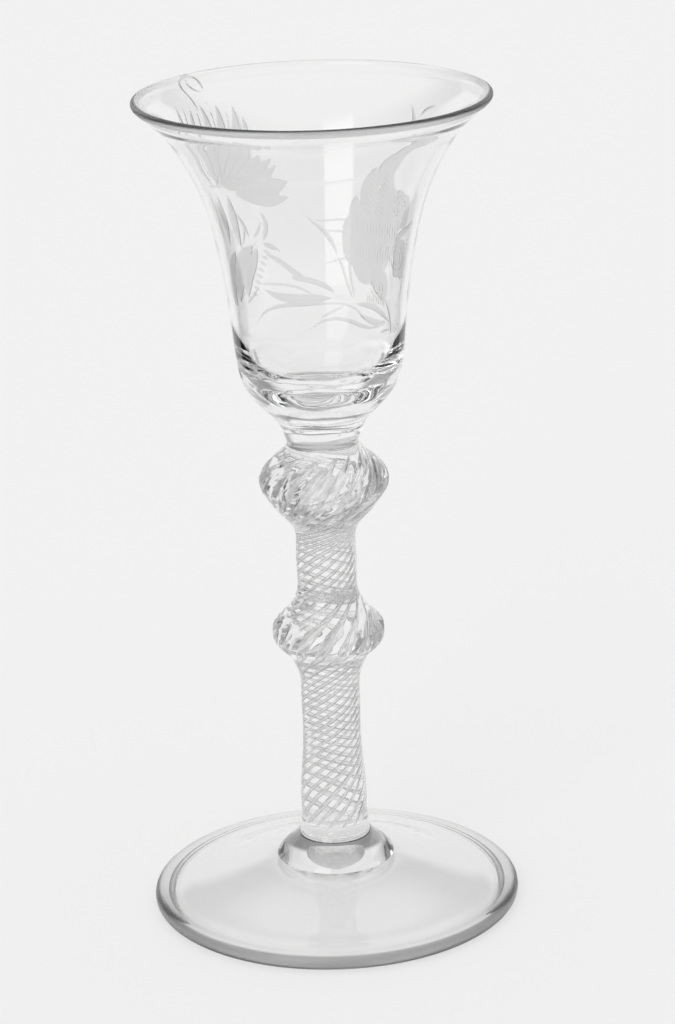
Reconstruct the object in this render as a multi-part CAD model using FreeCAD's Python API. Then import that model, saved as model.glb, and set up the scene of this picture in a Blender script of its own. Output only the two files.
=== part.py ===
import FreeCAD, Part
import math
import os

# An air-twist wine glass: a foot, a knopped stem of two gathers and a bell bowl,
# stacked along +Z and welded face to face. Millimetres, origin at the centre of the
# circle that the glass stands on.

# Foot, from the table up: wear ring, glass of the edge, cone, boss
foot_diameter = 76.0
foot_ring_width = 1.5
foot_ring_height = 0.5
foot_thickness = 3.0
cone_rise = 6.2
boss_diameter = 24.2
boss_rise = 5.7

# Stem, from the foot up: shaft, centre knop, waist, shoulder knop, neck
stem_foot_diameter = 14.8
shaft_length = 34.4
shaft_diameter = 11.95
shaft_swell_diameter = 13.7
centre_knop_half_length = 9.2
centre_knop_diameter = 23.1
waist_length = 12.3
waist_diameter = 12.2
shoulder_knop_fall = 10.7
shoulder_knop_rise = 7.8
shoulder_knop_diameter = 26.3
neck_length = 0.6
neck_diameter = 15.4

# Air threads: grooves in the core that the casing closes
thread_count = 12
core_radius_share = 0.76
knop_core_share = 0.68
thread_depth_share = 0.22
thread_turn_length = 21.0
thread_fade_length = 2.5
crown_thickness = 2.0
casing_gap = 0.05

# Bowl, from the neck up: solid base, cavity
bowl_base_height = 10.5
cavity_depth = 59.9
cavity_round_height = 13.5
rim_diameter = 70.6
rim_bead_diameter = 1.5
bowl_wall = 1.1
lip_flare_degrees = 42.0

# Stub left by the pontil iron under the foot
pontil_diameter = 9.0
pontil_drop = 1.3
pontil_seat_margin = 1.0

# Levels, each above the one before
foot_edge_height = foot_ring_height + foot_thickness
boss_base_height = foot_edge_height + cone_rise
foot_weld = boss_base_height + boss_rise
shaft_top = foot_weld + shaft_length
centre_knop_level = shaft_top + centre_knop_half_length
waist_bottom = centre_knop_level + centre_knop_half_length
waist_top = waist_bottom + waist_length
shoulder_knop_level = waist_top + shoulder_knop_fall
shoulder_top = shoulder_knop_level + shoulder_knop_rise
bowl_weld = shoulder_top + neck_length
cavity_floor = bowl_weld + bowl_base_height
rim_level = cavity_floor + cavity_depth
bowl_height = bowl_base_height + cavity_depth
stem_length = bowl_weld - foot_weld

# Radii
foot_radius = foot_diameter / 2
boss_radius = boss_diameter / 2
stem_foot_radius = stem_foot_diameter / 2
shaft_radius = shaft_diameter / 2
waist_radius = waist_diameter / 2
neck_radius = neck_diameter / 2
centre_knop_radius = centre_knop_diameter / 2
shoulder_knop_radius = shoulder_knop_diameter / 2
rim_radius = rim_diameter / 2
bead_radius = rim_bead_diameter / 2
pontil_radius = pontil_diameter / 2
pontil_seat_radius = pontil_radius + pontil_seat_margin

# Outside of the bowl: share of its height, and share of the way from neck to rim
bowl_outline_shares = [
    (0.048, 0.027), (0.105, 0.145), (0.134, 0.214), (0.162, 0.264), (0.190, 0.295),
    (0.233, 0.321), (0.290, 0.337), (0.361, 0.355), (0.432, 0.377), (0.503, 0.402),
    (0.574, 0.435), (0.645, 0.473), (0.716, 0.525), (0.787, 0.601), (0.858, 0.703),
    (0.929, 0.841),
]
# Round floor of the cavity: share of its height, share of the radius where it ends
cavity_round_shares = [
    (0.0074, 0.148), (0.026, 0.302), (0.067, 0.443), (0.137, 0.578), (0.233, 0.702),
    (0.344, 0.800), (0.459, 0.874), (0.585, 0.923), (0.719, 0.954), (0.844, 0.974),
]
# Levels of the thin wall, as shares of the way from the round floor to the rim
wall_level_shares = [
    0.0, 0.06, 0.14, 0.24, 0.36, 0.48, 0.58, 0.67, 0.75, 0.81, 0.86, 0.90, 0.94,
]
# Sides of the knops: share of the way from the widest ring to the root, share of swell
round_knop_side_shares = [
    (0.10, 0.985), (0.20, 0.93), (0.32, 0.77), (0.43, 0.56), (0.54, 0.37),
    (0.65, 0.245), (0.77, 0.15), (0.88, 0.065),
]
shoulder_knop_top_shares = [
    (0.128, 0.98), (0.23, 0.925), (0.36, 0.82), (0.487, 0.66), (0.615, 0.46),
    (0.744, 0.23), (0.87, 0.07),
]
shoulder_knop_under_shares = [
    (0.11, 0.97), (0.206, 0.89), (0.30, 0.80), (0.39, 0.70), (0.486, 0.59),
    (0.58, 0.47), (0.673, 0.345), (0.766, 0.216), (0.86, 0.10),
]
# Shaft below the centre knop: share of its length, share of the swell at the foot end
shaft_swell_shares = [
    (0.10, 0.92), (0.19, 0.98), (0.31, 0.84), (0.44, 0.42), (0.58, 0.05), (0.70, 0.0),
    (0.84, 0.10), (1.0, 0.42),
]
# Where the waist between the knops is straight, as shares of its length
waist_straight_shares = [0.3, 0.7]
# Boss: share of its height above the crease, share of the way from crease to stem
boss_outline_shares = [
    (0.10, 0.05), (0.24, 0.17), (0.42, 0.38), (0.60, 0.62), (0.73, 0.82), (0.84, 0.94),
]
# Underside of the foot, below the cone: shares of the way from the wear ring to the boss
hollow_slope_shares = [0.1, 0.25, 0.5, 0.75]
# Length of a full turn of the threads: share of the stem, share of the shaft's turn.
# It also grows with a power of the stem's radius, because a thick place twists less.
turn_length_shares = [
    (0.0, 1.5), (0.10, 1.5), (0.15, 1.17), (0.21, 1.0), (0.34, 1.0), (0.40, 1.1),
    (0.70, 1.1), (0.755, 0.6), (0.79, 0.6), (0.83, 0.9), (1.0, 1.0),
]
turn_radius_power = 1.3
# Outline of the broken stub: lobes round it, each with its share of the radius
pontil_lobe_shares = [(3, 0.09), (5, 0.05)]
pontil_level_shares = [(0.0, 1.0), (0.55, 0.92), (1.0, 0.55)]

# Counts of points on the surfaces made from a formula
core_rows = 140
points_per_thread = 8
groove_sharpness = 2
skin_degree = 3
pontil_points = 24
search_steps = 40

UP = FreeCAD.Vector(0, 0, 1)
OUT = FreeCAD.Vector(1, 0, 0)
ORIGIN = FreeCAD.Vector(0, 0, 0)
FULL_TURN = 360.0


def at(radius, height):
    """A point of a turned outline: its radius along X, its height along Z."""
    return FreeCAD.Vector(radius, 0, height)


def line(start, end):
    return Part.LineSegment(start, end).toShape()


def smooth(points, start_direction=None, end_direction=None):
    """The smooth curve through the points of an outline, timed by their spacing."""
    lengths = [0.0]
    for point, next_point in zip(points, points[1:]):
        lengths.append(lengths[-1] + point.distanceToPoint(next_point))
    curve = Part.BSplineCurve()
    if start_direction is None or end_direction is None:
        curve.interpolate(Points=points, Parameters=lengths)
    else:
        curve.interpolate(Points=points, Parameters=lengths, Scale=False,
                          InitialTangent=start_direction, FinalTangent=end_direction)
    return curve


def turned(edges):
    """The solid that a closed outline sweeps in a full turn round the Z axis."""
    face = Part.Face(Part.Wire(edges))
    return face.revolve(ORIGIN, UP, FULL_TURN)


def parameter_at(curve, height):
    """Where a rising outline reaches a height."""
    low = curve.FirstParameter
    high = curve.LastParameter
    for _ in range(search_steps):
        middle = (low + high) / 2
        if curve.value(middle).z < height:
            low = middle
        else:
            high = middle
    return low


def between(start, end, share):
    return start + (end - start) * share


def interpolated(table, share):
    """The value of a table of (place, value) pairs at a place between two of them."""
    for (place, value), (next_place, next_value) in zip(table, table[1:]):
        if share <= next_place:
            return between(value, next_value, (share - place) / (next_place - place))
    return table[-1][1]


# Bowl: the outside rises from the neck to the lip
lip_angle = math.radians(lip_flare_degrees)
lip_direction = FreeCAD.Vector(math.sin(lip_angle), 0, math.cos(lip_angle))
lip_outward = FreeCAD.Vector(math.cos(lip_angle), 0, -math.sin(lip_angle))
bead_centre = at(rim_radius - bead_radius, rim_level - bead_radius)
bead_outside = bead_centre + lip_outward * bead_radius
bead_top = bead_centre + lip_direction * bead_radius
bead_inside = bead_centre - lip_outward * bead_radius


def bowl_outline():
    points = [at(neck_radius, bowl_weld)]
    for height_share, swell_share in bowl_outline_shares:
        radius = between(neck_radius, rim_radius, swell_share)
        points.append(at(radius, bowl_weld + bowl_height * height_share))
    points.append(bead_outside)
    return smooth(points, UP, lip_direction)


def wall_point(outside, height):
    """The wall's own thickness in from a point of the outside."""
    place = parameter_at(outside, height)
    along = outside.tangent(place)[0]
    inward = FreeCAD.Vector(-along.z, 0, along.x)
    return outside.value(place) + inward * bowl_wall


def cavity_outline(outside):
    """The inside: a round floor that runs up into the even wall."""
    round_top = cavity_floor + cavity_round_height
    foot_of_wall = wall_point(outside, round_top)
    points = [at(0, cavity_floor)]
    for height_share, radius_share in cavity_round_shares:
        points.append(at(foot_of_wall.x * radius_share,
                         between(cavity_floor, foot_of_wall.z, height_share)))
    for share in wall_level_shares:
        points.append(wall_point(outside, between(round_top, rim_level, share)))
    points.append(bead_inside)
    return smooth(points, OUT, lip_direction)


def make_bowl():
    outside = bowl_outline()
    inside = cavity_outline(outside)
    edges = [
        line(at(0, bowl_weld), at(neck_radius, bowl_weld)),
        outside.toShape(),
        Part.Arc(bead_outside, bead_top, bead_inside).toShape(),
        inside.toShape(),
        line(at(0, cavity_floor), at(0, bowl_weld)),
    ]
    return turned(edges)


# Stem: shaft, centre knop, waist and shoulder knop, from the foot to the neck
def knop_side(level, root_level, knop_radius, root_radius, side_shares):
    """Points down or up one side of a knop, from its widest ring to its root."""
    points = []
    for away_share, swell_share in side_shares:
        radius = between(root_radius, knop_radius, swell_share)
        points.append(at(radius, between(level, root_level, away_share)))
    return points


def stem_points():
    points = [at(stem_foot_radius, foot_weld)]
    swell_radius = shaft_swell_diameter / 2
    for height_share, swell_share in shaft_swell_shares:
        radius = between(shaft_radius, swell_radius, swell_share)
        points.append(at(radius, between(foot_weld, shaft_top, height_share)))
    points += reversed(knop_side(centre_knop_level, shaft_top, centre_knop_radius,
                                 points[-1].x, round_knop_side_shares))
    points.append(at(centre_knop_radius, centre_knop_level))
    points += knop_side(centre_knop_level, waist_bottom, centre_knop_radius,
                        waist_radius, round_knop_side_shares)
    for share in waist_straight_shares:
        points.append(at(waist_radius, between(waist_bottom, waist_top, share)))
    points += reversed(knop_side(shoulder_knop_level, waist_top, shoulder_knop_radius,
                                 waist_radius, shoulder_knop_under_shares))
    points.append(at(shoulder_knop_radius, shoulder_knop_level))
    points += knop_side(shoulder_knop_level, shoulder_top, shoulder_knop_radius,
                        neck_radius, shoulder_knop_top_shares)
    points.append(at(neck_radius, bowl_weld))
    return points


core_top = bowl_weld - crown_thickness
bore_top = core_top + casing_gap


def stem_radius(stem_outline, height):
    return stem_outline.value(parameter_at(stem_outline, height)).x


def core_outline(stem_outline, gap, top):
    """The core's outside, or the bore round it: it takes its share of each knop."""
    points = []
    for row in range(core_rows + 1):
        height = between(foot_weld, top, row / core_rows)
        swell = stem_radius(stem_outline, height) - shaft_radius
        radius = shaft_radius * core_radius_share + swell * knop_core_share
        points.append(at(radius + gap, height))
    return points


def make_stem_casing():
    outline = smooth(stem_points())
    bore_points = core_outline(outline, casing_gap, bore_top)
    edges = [
        outline.toShape(),
        line(at(neck_radius, bowl_weld), at(0, bowl_weld)),
        line(at(0, bowl_weld), at(0, bore_top)),
        line(at(0, bore_top), bore_points[-1]),
        smooth(bore_points).toShape(),
        line(bore_points[0], at(stem_foot_radius, foot_weld)),
    ]
    return turned(edges)


def twist_angles(stem_outline):
    """How far the threads have turned at each row of the core."""
    step = (core_top - foot_weld) / core_rows
    angles = [0.0]
    for row in range(core_rows):
        climb = (row + 0.5) * step
        thickness_share = stem_radius(stem_outline, foot_weld + climb) / shaft_radius
        turn_length = thread_turn_length * thickness_share ** turn_radius_power
        turn_length *= interpolated(turn_length_shares, climb / stem_length)
        angles.append(angles[-1] + 2 * math.pi * step / turn_length)
    return angles


def thread_depth(height):
    """The grooves run out to nothing at both ends of the core."""
    run = min(height - foot_weld, core_top - height) / thread_fade_length
    run = max(0.0, min(1.0, run))
    return thread_depth_share * run * run * (3 - 2 * run)


def make_stem_core():
    """A rod of twisted flutes: one smooth skin over a net of points, and two ends."""
    outline = smooth(stem_points())
    rows = core_outline(outline, 0, core_top)
    points_round = thread_count * points_per_thread
    net = []
    for row, angle in zip(rows, twist_angles(outline)):
        ring = []
        for index in range(points_round):
            turn = 2 * math.pi * index / points_round
            groove = ((1 - math.cos(thread_count * turn)) / 2) ** groove_sharpness
            radius = row.x * (1 - thread_depth(row.z) * groove)
            ring.append(FreeCAD.Vector(radius * math.cos(angle + turn),
                                       radius * math.sin(angle + turn), row.z))
        net.append(ring)
    row_knots = list(range(len(net) - skin_degree + 1))
    row_repeats = [1] * len(row_knots)
    row_repeats[0] = skin_degree + 1
    row_repeats[-1] = skin_degree + 1
    round_knots = list(range(points_round + 1))
    skin = Part.BSplineSurface()
    skin.buildFromPolesMultsKnots(net, row_repeats, [1] * len(round_knots),
                                  row_knots, round_knots, False, True,
                                  skin_degree, skin_degree)
    side = skin.toShape()
    ends = [Part.Face(Part.Wire([edge])) for edge in side.Edges if edge.isClosed()]
    shell = Part.Shell([side] + ends)
    shell.sewShape()
    return Part.Solid(shell)


# Foot: boss, cone, rounded edge, wear ring and hollow underside
edge_radius = foot_edge_height / 2
cone_radius = foot_radius - edge_radius
ring_outer_radius = foot_radius - edge_radius
ring_inner_radius = ring_outer_radius - foot_ring_width
hollow_top = boss_base_height - foot_thickness


def boss_outline():
    points = [at(boss_radius, boss_base_height)]
    for height_share, inward_share in boss_outline_shares:
        points.append(at(between(boss_radius, stem_foot_radius, inward_share),
                         between(boss_base_height, foot_weld, height_share)))
    points.append(at(stem_foot_radius, foot_weld))
    return smooth(points)


def hollow_outline():
    """The underside follows the cone, one thickness down, and levels at the centre."""
    slope_points = [at(ring_inner_radius, 0)]
    for share in hollow_slope_shares:
        radius = between(ring_inner_radius, boss_radius, share)
        cone_share = (radius - boss_radius) / (cone_radius - boss_radius)
        cone_height = between(boss_base_height, foot_edge_height, cone_share)
        slope_points.append(at(radius, cone_height - foot_thickness))
    slope_points.append(at(pontil_seat_radius, hollow_top))
    return smooth(slope_points)


def make_foot():
    edge_middle = at(foot_radius, edge_radius)
    edge_top = at(cone_radius, foot_edge_height)
    edge_bottom = at(ring_outer_radius, 0)
    edges = [
        line(at(0, foot_weld), at(stem_foot_radius, foot_weld)),
        boss_outline().toShape(),
        line(at(boss_radius, boss_base_height), edge_top),
        Part.Arc(edge_top, edge_middle, edge_bottom).toShape(),
        line(edge_bottom, at(ring_inner_radius, 0)),
        hollow_outline().toShape(),
        line(at(pontil_seat_radius, hollow_top), at(0, hollow_top)),
        line(at(0, hollow_top), at(0, foot_weld)),
    ]
    return turned(edges)


def make_pontil_scar():
    """A low uneven stub on the flat seat under the foot."""
    rings = []
    for drop_share, radius_share in pontil_level_shares:
        points = []
        for index in range(pontil_points):
            angle = 2 * math.pi * index / pontil_points
            swing = sum(share * math.cos(lobes * angle + lobes)
                        for lobes, share in pontil_lobe_shares)
            radius = pontil_radius * radius_share * (1 + swing)
            points.append(FreeCAD.Vector(radius * math.cos(angle),
                                         radius * math.sin(angle),
                                         hollow_top - pontil_drop * drop_share))
        ring = Part.BSplineCurve()
        ring.interpolate(Points=points, PeriodicFlag=True)
        rings.append(Part.Wire([ring.toShape()]))
    return Part.makeLoft(rings, True)


os.makedirs("parts", exist_ok=True)
pieces = {
    "bowl": make_bowl(),
    "stem_casing": make_stem_casing(),
    "stem_core": make_stem_core(),
    "foot": make_foot(),
    "pontil_scar": make_pontil_scar(),
}
for name, shape in pieces.items():
    shape.exportStep("parts/" + name + ".step")
    print(name, "valid", shape.isValid(), "solids", len(shape.Solids),
          "volume", round(shape.Volume, 1), "mm3")
print("height", rim_level, "rim", rim_diameter, "foot", foot_diameter)
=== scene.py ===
# %% [markdown]
# # An air-twist wine glass
#
# This lesson builds the looks of an old drinking glass round a CAD model that is
# already at its real size. The glass has a conical foot, a knopped stem with twelve
# spiral threads of air inside it, and a bell bowl with flowers and a moth cut into
# its outside by a copper wheel.
#
# Clear glass is drawn almost entirely by what it bends and mirrors. So the lesson
# goes: frame, camera, room, finishes, then the pieces from the table up.

import math
import random

import bmesh
import bpy
import numpy as np
from mathutils import Matrix, Vector, noise


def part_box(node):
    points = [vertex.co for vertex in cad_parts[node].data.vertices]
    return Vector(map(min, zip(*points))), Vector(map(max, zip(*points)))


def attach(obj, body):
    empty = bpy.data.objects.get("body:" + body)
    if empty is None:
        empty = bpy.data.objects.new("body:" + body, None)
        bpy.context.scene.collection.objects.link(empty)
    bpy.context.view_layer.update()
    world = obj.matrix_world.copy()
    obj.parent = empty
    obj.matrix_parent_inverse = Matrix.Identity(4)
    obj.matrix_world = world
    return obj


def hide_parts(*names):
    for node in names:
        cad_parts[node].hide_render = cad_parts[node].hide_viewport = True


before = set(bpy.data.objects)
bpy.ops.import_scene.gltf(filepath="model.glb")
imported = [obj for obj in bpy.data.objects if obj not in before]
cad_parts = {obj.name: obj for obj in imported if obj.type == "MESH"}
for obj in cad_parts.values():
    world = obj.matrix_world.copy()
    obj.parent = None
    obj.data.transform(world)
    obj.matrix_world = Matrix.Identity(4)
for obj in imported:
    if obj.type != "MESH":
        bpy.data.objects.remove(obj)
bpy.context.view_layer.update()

MM = 0.001
UP = Vector((0, 0, 1))
FULL_TURN = 2 * math.pi
scene = bpy.context.scene

# %% [markdown]
# ## The camera
#
# The photograph looks a little down on the glass, from far enough away that the
# foot and the rim have nearly the same scale. A camera can be pointed with a Track To
# constraint; here pitch, yaw and roll are three turns of its own, because the glass
# leans a little in the picture and roll has to be exact.

# %% Place the camera
camera_distance = 0.6447
camera_height = 0.299
camera_pitch = math.radians(18.43)
camera_yaw = math.radians(0.226)
camera_roll = math.radians(-1.77)
sensor_height = 36.0
camera_lens = 118.1
camera_clip = (0.01, 50)


def place_camera():
    data = bpy.data.cameras.new("camera")
    data.sensor_fit = "VERTICAL"
    data.sensor_height = sensor_height
    data.lens = camera_lens
    data.clip_start, data.clip_end = camera_clip
    camera = bpy.data.objects.new("camera", data)
    scene.collection.objects.link(camera)
    turn = (Matrix.Rotation(-camera_yaw, 4, "Z")
            @ Matrix.Rotation(math.pi / 2 - camera_pitch, 4, "X")
            @ Matrix.Rotation(camera_roll, 4, "Z"))
    camera.matrix_world = Matrix.Translation((0, -camera_distance, camera_height)) @ turn
    scene.camera = camera
    return camera


camera = place_camera()
print("camera at", [round(value, 3) for value in camera.matrix_world.translation])

# %% [markdown]
# ## Small helpers for nodes
#
# Every finish below is a few shader nodes. These helpers add one node each, so that a
# material reads as a short recipe.

# %% Node helpers
def add_node(tree, kind, **settings):
    """Adds one shader node and sets its properties by name."""
    made = tree.nodes.new(kind)
    for name, value in settings.items():
        setattr(made, name, value)
    return made


def feed(tree, socket, value):
    """Gives a socket a plain value, or links another node's output to it."""
    if isinstance(value, bpy.types.NodeSocket):
        tree.links.new(value, socket)
    else:
        socket.default_value = value


def fill(tree, node, values):
    """Feeds inputs of a node, given by name or place, and returns its outputs."""
    for name, value in values.items():
        feed(tree, node.inputs[name], value)
    return node.outputs


def math_node(tree, operation, *values):
    node = add_node(tree, "ShaderNodeMath", operation=operation)
    return fill(tree, node, dict(enumerate(values)))[0]


def product(tree, first, second):
    return math_node(tree, "MULTIPLY", first, second)


def larger(tree, first, second):
    return math_node(tree, "MAXIMUM", first, second)


def map_range(tree, value, low, high, to_low=0.0, to_high=1.0, kind="SMOOTHSTEP"):
    node = add_node(tree, "ShaderNodeMapRange", interpolation_type=kind)
    return fill(tree, node, {"Value": value, "From Min": low, "From Max": high,
                             "To Min": to_low, "To Max": to_high})[0]


def mix_color(tree, factor, first, second):
    node = add_node(tree, "ShaderNodeMix", data_type="RGBA")
    return fill(tree, node, {0: factor, 6: first, 7: second})[2]


def grey(level):
    return (level, level, level, 1.0)


def shader_of(material):
    return material.node_tree, material.node_tree.nodes["Principled BSDF"]


def new_material(name, values):
    """A new Principled material with some of its inputs set."""
    material = bpy.data.materials.new(name)
    material.use_nodes = True
    fill(*shader_of(material), values)
    return material


def matt(name, level):
    """A plain matt material without gloss."""
    return new_material(name, {"Base Color": grey(level), "Roughness": 0.9,
                               "Specular IOR Level": 0.0})


# %% [markdown]
# ## The room
#
# Glass is photographed in a bright field: a white sweep under and behind it, so the
# middle of every part reads white, and something darker at the sides and above, which
# the edges bend into view and which draws them as grey lines. One tall window behind
# the camera, to its left, gives the long highlight. All of this can be lamps and
# panels. Here it is a pattern in the World, which lights the whole floor evenly. The
# camera sees one plain level in its place, so the background is the same from every
# side. The levels were fitted to the greys of the photograph.

# %% World: a pale sweep behind, darker sides, a bright ceiling and a tall window
# Levels of light by the height of a direction, from -1 straight down to 1 straight up
room_levels = [(-1.0, 0.86), (-0.02, 0.86), (0.06, 0.50), (0.20, 0.28), (0.58, 0.30),
               (0.74, 0.94), (1.0, 1.0)]
background_level = 0.88
# Azimuth, half width and soft edge in degrees; top as a height; level of light
panels = [(90, 38, 24, 0.38, 0.9), (-118, 15, 3, 0.70, 2.0)]
panel_soft_top = 0.08


def build_world():
    world = bpy.data.worlds.new("room")
    world.use_nodes = True
    tree = world.node_tree
    tree.nodes.clear()
    direction = add_node(tree, "ShaderNodeTexCoord").outputs["Generated"]
    parts = fill(tree, add_node(tree, "ShaderNodeSeparateXYZ"), {0: direction})
    height = parts["Z"]

    ramp = add_node(tree, "ShaderNodeValToRGB")
    feed(tree, ramp.inputs[0], map_range(tree, height, -1.0, 1.0, kind="LINEAR"))
    steps = ramp.color_ramp.elements
    steps[0].color = grey(room_levels[0][1])
    steps[1].color = grey(room_levels[-1][1])
    for level_height, level in room_levels[1:-1]:
        steps.new((level_height + 1) / 2).color = grey(level)

    azimuth = math_node(tree, "ARCTAN2", parts["Y"], parts["X"])

    def lit_inside(lit, middle, half_width, soft_edge, top, level):
        """Gives a range of azimuths its own level of light, up to a height."""
        aside = math_node(tree, "SUBTRACT", azimuth, math.radians(middle))
        aside = math_node(tree, "ABSOLUTE", aside)
        across = map_range(tree, aside, math.radians(half_width),
                           math.radians(half_width + soft_edge), 1.0, 0.0)
        below = map_range(tree, height, top, top + panel_soft_top, 1.0, 0.0)
        return mix_color(tree, product(tree, across, below), lit, grey(level))

    lit = ramp.outputs["Color"]
    for panel in panels:
        lit = lit_inside(lit, *panel)

    seen = add_node(tree, "ShaderNodeLightPath").outputs["Is Camera Ray"]
    light = add_node(tree, "ShaderNodeBackground")
    feed(tree, light.inputs["Color"], mix_color(tree, seen, lit, grey(background_level)))
    output = add_node(tree, "ShaderNodeOutputWorld")
    feed(tree, output.inputs[0], light.outputs[0])
    scene.world = world
    return world


world = build_world()
print("world", world.name, "with", len(world.node_tree.nodes), "nodes")

# %% [markdown]
# ## Making pieces
#
# All the glass but its threads and bubbles is turned about one axis. A turned piece
# could be a Screw modifier on a curve or a spin of one outline. Here a flat grid is
# bent round the axis, because its columns can then lie close together on one side.

# %% Finish a bmesh as an object
sharp_angle = math.radians(28)


def mark_sharp(mesh):
    """Hard corners keep their own normals, everything else is shaded smooth."""
    for face in mesh.faces:
        face.smooth = True
    for edge in mesh.edges:
        if edge.is_manifold and edge.calc_face_angle() > sharp_angle:
            edge.smooth = False


def finish_piece(name, mesh, materials):
    """Writes a bmesh to a new object at the origin, with its materials."""
    mark_sharp(mesh)
    data = bpy.data.meshes.new(name)
    mesh.to_mesh(data)
    mesh.free()
    for material in materials:
        data.materials.append(material)
    piece = bpy.data.objects.new(name, data)
    scene.collection.objects.link(piece)
    print(name, len(data.vertices), "points", len(data.polygons), "faces")
    return piece


# %% [markdown]
# The floor is a wide disc of pale paper. Camera and glass see part of its brightness
# as its own glow, which keeps it as even as the background behind it. The share of the
# glow is given.

# %% Floor
floor_radius = 4.0
floor_steps = 96
floor_drop = 0.05 * MM
floor_albedo = 0.92
floor_glow_share = 0.58


def floor_material():
    """Pale paper that the camera and the glass see partly by its own glow."""
    material = matt("pale_paper", floor_albedo)
    tree, shader = shader_of(material)
    rays = add_node(tree, "ShaderNodeLightPath").outputs
    seen = larger(tree, rays["Is Camera Ray"], rays["Is Transmission Ray"])
    seen = larger(tree, seen, rays["Is Glossy Ray"])
    dim = grey(floor_albedo * (1 - floor_glow_share))
    fill(tree, shader, {
        "Base Color": mix_color(tree, seen, grey(floor_albedo), dim),
        "Emission Color": grey(1.0),
        "Emission Strength": product(tree, seen, floor_glow_share)})
    return material


def make_floor():
    mesh = bmesh.new()
    bmesh.ops.create_circle(mesh, cap_ends=True, radius=floor_radius,
                            segments=floor_steps,
                            matrix=Matrix.Translation((0, 0, -floor_drop)))
    floor = finish_piece("floor", mesh, [floor_material()])


make_floor()

# %% [markdown]
# The darkest lines in the photograph most likely mirror what stood at its sides. A
# card on each side, low and out of the picture, does that here, the left one far
# darker. The cards are hidden from the camera and throw no shadow: only glass sees them.

# %% Dark cards
card_distance = 0.26
card_height = 0.10
# Azimuth and half width in degrees, level of grey
card_places = [(28, 16, 0.62), (152, 12, 0.16)]


def make_card(number, azimuth, half_width, level):
    """A flat card that stands upright at an azimuth and faces the glass."""
    turn = Matrix.Rotation(math.radians(azimuth), 4, "Z")
    side = card_distance * math.tan(math.radians(half_width))
    mesh = bmesh.new()
    bmesh.ops.create_grid(mesh, x_segments=1, y_segments=1, size=0.5)
    for point in mesh.verts:
        across, height = 2 * side * point.co.x, card_height * (point.co.y + 0.5)
        point.co = turn @ Vector((card_distance, across, height))
    card = finish_piece(f"dark_card_{number}", mesh, [matt("dark_card", level)])
    card.visible_camera = False
    card.visible_shadow = False
    card.visible_diffuse = False


for number, (azimuth, half_width, level) in enumerate(card_places, 1):
    make_card(number, azimuth, half_width, level)

# %% [markdown]
# ## The outline of a CAD piece
#
# The CAD model already holds every turned outline exactly. Typing the outlines again
# would risk two versions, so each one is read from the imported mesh: the points on its
# seam, in order, from one end to the other. They lie up to 2 mm apart, and flat facets
# would show at once in glass, so a natural cubic spline through them gives as many
# rings as the shading needs.

# %% Read and smooth an outline
weld_tolerance = 1e-7
corner_angle = math.radians(24)
axis_mirror_points = 4


def seam_points(node, start, towards):
    """The seam of a turned CAD piece as (radius, height) points, from a start point."""
    mesh = bmesh.new()
    mesh.from_mesh(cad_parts[node].data)
    bmesh.ops.remove_doubles(mesh, verts=mesh.verts, dist=weld_tolerance)
    seam = {v for v in mesh.verts
            if abs(v.co.y) < weld_tolerance and v.co.x > -weld_tolerance}
    place = min(seam, key=lambda v: (v.co - start).length)
    points, visited, heading = [], set(), towards.normalized()
    while place is not None:
        visited.add(place)
        points.append((place.co.x, place.co.z))
        onward = [edge.other_vert(place) for edge in place.link_edges]
        onward = [v for v in onward if v in seam and v not in visited]
        if not onward:
            break
        ahead = max(onward, key=lambda v: (v.co - place.co).normalized().dot(heading))
        heading = (ahead.co - place.co).normalized()
        place = ahead
    mesh.free()
    return points


def spline_through(points):
    """A natural cubic spline through points, timed by the distance between them."""
    values = np.array(points)
    steps = np.linalg.norm(np.diff(values, axis=0), axis=1)
    times = np.concatenate(([0.0], np.cumsum(steps)))
    system = np.eye(len(values))
    pulls = np.zeros_like(values)
    for i in range(1, len(values) - 1):
        system[i, i - 1:i + 2] = steps[i - 1], 2 * (steps[i - 1] + steps[i]), steps[i]
        pulls[i] = 6 * ((values[i + 1] - values[i]) / steps[i]
                        - (values[i] - values[i - 1]) / steps[i - 1])
    bends = np.linalg.solve(system, pulls)

    def point_at(time):
        i = int(np.clip(np.searchsorted(times, time) - 1, 0, len(steps) - 1))
        after = (time - times[i]) / steps[i]
        before = 1 - after
        bend = (before ** 3 - before) * bends[i] + (after ** 3 - after) * bends[i + 1]
        return before * values[i] + after * values[i + 1] + bend * steps[i] ** 2 / 6

    return point_at, times


def split_at_corners(points):
    """Cuts an outline into smooth runs at its hard corners."""
    runs, run = [], [points[0]]
    for before, point, after in zip(points, points[1:], points[2:]):
        run.append(point)
        turn = Vector(point) - Vector(before)
        if turn.angle(Vector(after) - Vector(point)) > corner_angle:
            runs.append(run)
            run = [point]
    run.append(points[-1])
    return runs + [run]


def resample(points, spacing):
    """The same outline with points a given distance apart, smooth between corners."""
    result = [tuple(points[0])]
    for run in split_at_corners(points):
        last = len(run) - 1
        if run[-1][0] < weld_tolerance:
            inward = run[-2:-2 - axis_mirror_points:-1]
            run = run + [(-radius, height) for radius, height in inward]
        point_at, times = spline_through(run)
        count = max(1, round(times[last] / spacing))
        for step in range(1, count + 1):
            result.append(tuple(point_at(times[last] * step / count)))
    return result


def even_angles(steps):
    return [FULL_TURN * step / steps for step in range(steps + 1)]


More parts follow.
